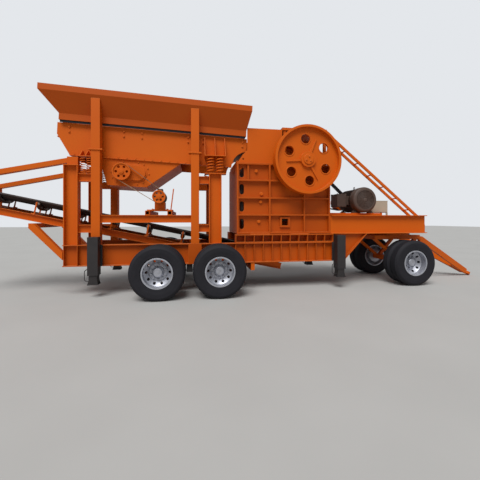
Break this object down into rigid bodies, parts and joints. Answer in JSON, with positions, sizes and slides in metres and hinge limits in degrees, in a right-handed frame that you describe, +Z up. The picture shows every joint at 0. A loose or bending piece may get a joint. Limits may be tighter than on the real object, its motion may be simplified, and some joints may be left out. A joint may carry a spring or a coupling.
{
  "type": "mobile jaw crushing plant",
  "caption": "Trailer-mounted jaw crushing plant with feed hopper, vibrating feeder, side discharge belt conveyor, motor deck and steering dolly",
  "frame": {"origin": "ground plane, under the middle of the machine's bounding box", "axes": "+X towards the drawbar end, +Y to the far side with the drive belt, +Z up"},
  "size_m": [12.2009, 2.85, 4.1052],
  "materials": {
    "painted_orange_steel": "satin",
    "black_painted_steel": "satin",
    "silver_painted_steel": "satin",
    "brown_painted_steel": "satin",
    "beige_painted_steel": "satin",
    "bare_steel": "worn",
    "black_rubber": "matte",
    "grey_rubber": "matte"
  },
  "bodies": {
    "machine": {"chassis_beams": "painted_orange_steel", "chassis_cross_members": "painted_orange_steel", "crusher_base": "painted_orange_steel", "deck_frame": "painted_orange_steel", "spring_posts": "painted_orange_steel", "hopper_posts": "painted_orange_steel", "frame_rails": "painted_orange_steel", "hopper": "painted_orange_steel", "feeder_trough": "painted_orange_steel", "grizzly_bars": "bare_steel", "exciter_box": "painted_orange_steel", "feeder_springs": "painted_orange_steel", "feeder_motor": "brown_painted_steel", "feeder_belt": "black_rubber", "crusher_side_frames": "painted_orange_steel", "crusher_end_walls": "painted_orange_steel", "fixed_jaw": "bare_steel", "swing_jaw": "bare_steel", "inlet_box": "painted_orange_steel", "bearing_housings": "painted_orange_steel", "top_platform": "painted_orange_steel", "ladder": "painted_orange_steel", "main_motor": "brown_painted_steel", "motor_rails": "painted_orange_steel", "main_belt": "black_rubber", "control_box": "beige_painted_steel", "conveyor_frame": "painted_orange_steel", "conveyor_idlers": "bare_steel", "conveyor_belt": "grey_rubber", "conveyor_supports": "painted_orange_steel", "rear_axles": "black_painted_steel", "leg_housings": "black_painted_steel"},
    "crusher_rotor": {"crusher_shaft": "bare_steel", "flywheel": "painted_orange_steel", "drive_sheave": "painted_orange_steel"},
    "motor_rotor": {"motor_pulley": "painted_orange_steel"},
    "exciter_rotor": {"exciter_pulley": "painted_orange_steel"},
    "feeder_motor_rotor": {"feeder_motor_pulley": "painted_orange_steel"},
    "dolly": {"dolly_frame": "painted_orange_steel"},
    "drawbar_body": {"drawbar": "painted_orange_steel"},
    "wheels_1_near": {"tyres_1_near": "black_rubber", "rims_1_near": "silver_painted_steel"},
    "wheels_1_far": {"tyres_1_far": "black_rubber", "rims_1_far": "silver_painted_steel"},
    "wheels_2_near": {"tyres_2_near": "black_rubber", "rims_2_near": "silver_painted_steel"},
    "wheels_2_far": {"tyres_2_far": "black_rubber", "rims_2_far": "silver_painted_steel"},
    "wheels_3_near": {"tyres_3_near": "black_rubber", "rims_3_near": "silver_painted_steel"},
    "wheels_3_far": {"tyres_3_far": "black_rubber", "rims_3_far": "silver_painted_steel"},
    "leg_rear_near_slide": {"leg_rear_near": "black_painted_steel"},
    "leg_rear_far_slide": {"leg_rear_far": "black_painted_steel"},
    "leg_front_near_slide": {"leg_front_near": "black_painted_steel"},
    "leg_front_far_slide": {"leg_front_far": "black_painted_steel"}
  },
  "joints": [
    {"name": "crusher_shaft_turns", "type": "hinge", "parent": "machine", "child": "crusher_rotor", "pos_m": [1.12074, 0, 2.79], "axis": [0, 1, 0], "continuous": true},
    {"name": "main_motor_turns", "type": "hinge", "parent": "machine", "child": "motor_rotor", "pos_m": [2.77074, 0.825, 1.975], "axis": [0, 1, 0], "continuous": true},
    {"name": "exciter_turns", "type": "hinge", "parent": "machine", "child": "exciter_rotor", "pos_m": [-2.75926, -0.625, 2.476], "axis": [0, 1, 0], "continuous": true},
    {"name": "feeder_motor_turns", "type": "hinge", "parent": "machine", "child": "feeder_motor_rotor", "pos_m": [-2.01926, -0.625, 1.973], "axis": [0, 1, 0], "continuous": true},
    {"name": "dolly_steers", "type": "hinge", "parent": "machine", "child": "dolly", "pos_m": [3.65074, 0, 1.15], "axis": [0, 0, 1], "range_deg": [-60, 60]},
    {"name": "drawbar_lifts", "type": "hinge", "parent": "dolly", "child": "drawbar_body", "pos_m": [4.19574, 0, 1.074], "axis": [0, -1, 0], "range_deg": [0, 29]},
    {"name": "wheels_1_near_roll", "type": "hinge", "parent": "machine", "child": "wheels_1_near", "pos_m": [-1.96726, -1.175, 0.51], "axis": [0, 1, 0], "continuous": true},
    {"name": "wheels_1_far_roll", "type": "hinge", "parent": "machine", "child": "wheels_1_far", "pos_m": [-1.96726, 1.175, 0.51], "axis": [0, 1, 0], "continuous": true},
    {"name": "wheels_2_near_roll", "type": "hinge", "parent": "machine", "child": "wheels_2_near", "pos_m": [-0.81326, -1.175, 0.51], "axis": [0, 1, 0], "continuous": true},
    {"name": "wheels_2_far_roll", "type": "hinge", "parent": "machine", "child": "wheels_2_far", "pos_m": [-0.81326, 1.175, 0.51], "axis": [0, 1, 0], "continuous": true},
    {"name": "wheels_3_near_roll", "type": "hinge", "parent": "dolly", "child": "wheels_3_near", "pos_m": [3.65074, -0.76, 0.51], "axis": [0, 1, 0], "continuous": true},
    {"name": "wheels_3_far_roll", "type": "hinge", "parent": "dolly", "child": "wheels_3_far", "pos_m": [3.65074, 0.76, 0.51], "axis": [0, 1, 0], "continuous": true},
    {"name": "leg_rear_near_winds", "type": "slide", "parent": "machine", "child": "leg_rear_near_slide", "axis": [0, 0, -1], "range_m": [0, 0.245]},
    {"name": "leg_rear_far_winds", "type": "slide", "parent": "machine", "child": "leg_rear_far_slide", "axis": [0, 0, -1], "range_m": [0, 0.245]},
    {"name": "leg_front_near_winds", "type": "slide", "parent": "machine", "child": "leg_front_near_slide", "axis": [0, 0, -1], "range_m": [0, 0.245]},
    {"name": "leg_front_far_winds", "type": "slide", "parent": "machine", "child": "leg_front_far_slide", "axis": [0, 0, -1], "range_m": [0, 0.245]}
  ],
  "couplings": [
    {"joint": "main_motor_turns", "follows": "crusher_shaft_turns", "ratio": 3.3636},
    {"joint": "feeder_motor_turns", "follows": "exciter_turns", "ratio": 1.3246}
  ]
}
